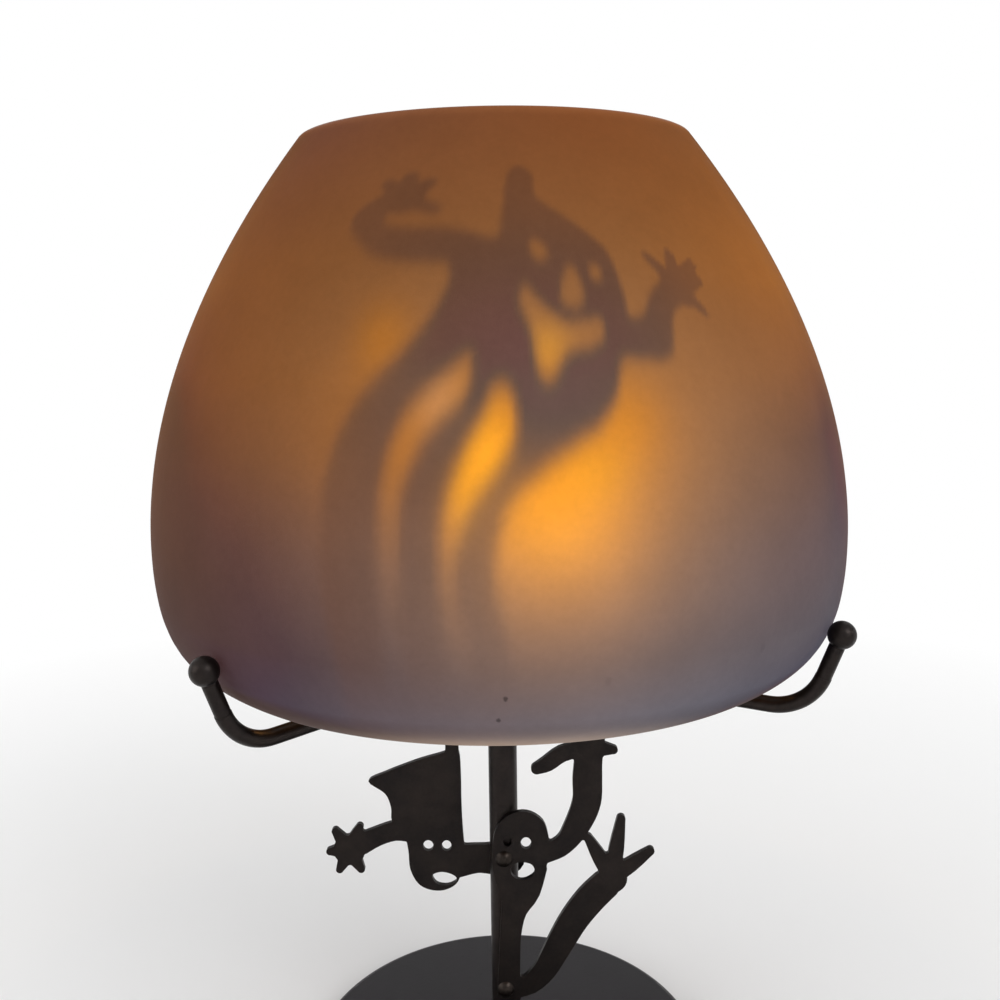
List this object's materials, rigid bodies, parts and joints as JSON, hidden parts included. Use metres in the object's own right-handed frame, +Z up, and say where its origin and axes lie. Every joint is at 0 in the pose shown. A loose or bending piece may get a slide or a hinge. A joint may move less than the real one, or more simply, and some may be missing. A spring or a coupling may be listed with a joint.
{
  "type": "tea light lamp",
  "caption": "Tea light lamp: a frosted glass shade on ball-tipped arms over a slim stem with cut-out ghost figures and a round foot.",
  "frame": {"origin": "middle of the foot's underside", "axes": "+Z up along the stem, -Y to the front, +X to the right as seen from the front"},
  "size_m": [0.18, 0.1841, 0.2613],
  "materials": {
    "felt": "black felt",
    "foot_metal": "satin black lacquer",
    "bronze": "dark bronze lacquer",
    "figure_metal": "dark bronze lacquer, slightly rough",
    "rivet_metal": "dark bronze lacquer",
    "screw_steel": "zinc plated",
    "tin": "bright drawn sheet",
    "wax": "smooth paraffin wax",
    "wick": "charred cotton",
    "frosted_glass": "acid frosted, with fire-polished lips"
  },
  "bodies": {
    "stand": {"base_felt": "felt", "base_plate": "foot_metal", "stem": "bronze", "arm_hub": "bronze", "arm_left": "bronze", "arm_right": "bronze", "arm_back": "bronze", "ball_left": "bronze", "ball_right": "bronze", "ball_back": "bronze", "candle_tray": "bronze", "candle_cup": "bronze", "ghost_bracket": "bronze", "ghost_upper": "figure_metal", "ghost_left": "figure_metal", "ghost_right": "figure_metal", "bracket_rivets": "rivet_metal", "ghost_upper_rivets": "rivet_metal", "ghost_left_rivets": "rivet_metal", "ghost_right_rivets": "rivet_metal", "base_screw": "screw_steel", "cup_washer": "screw_steel", "cup_screw": "screw_steel"},
    "tea_light": {"tealight_shell": "tin", "tealight_wax": "wax", "tealight_wick": "wick", "wick_tab": "tin"},
    "shade": {"shade_glass": "frosted_glass"}
  },
  "joints": [
    {"name": "shade_lift", "type": "slide", "parent": "stand", "child": "shade", "axis": [0, 0, 1], "range_m": [0, 0.115]},
    {"name": "tealight_lift", "type": "slide", "parent": "stand", "child": "tea_light", "axis": [0, 0, 1], "range_m": [0, 0.14]}
  ]
}
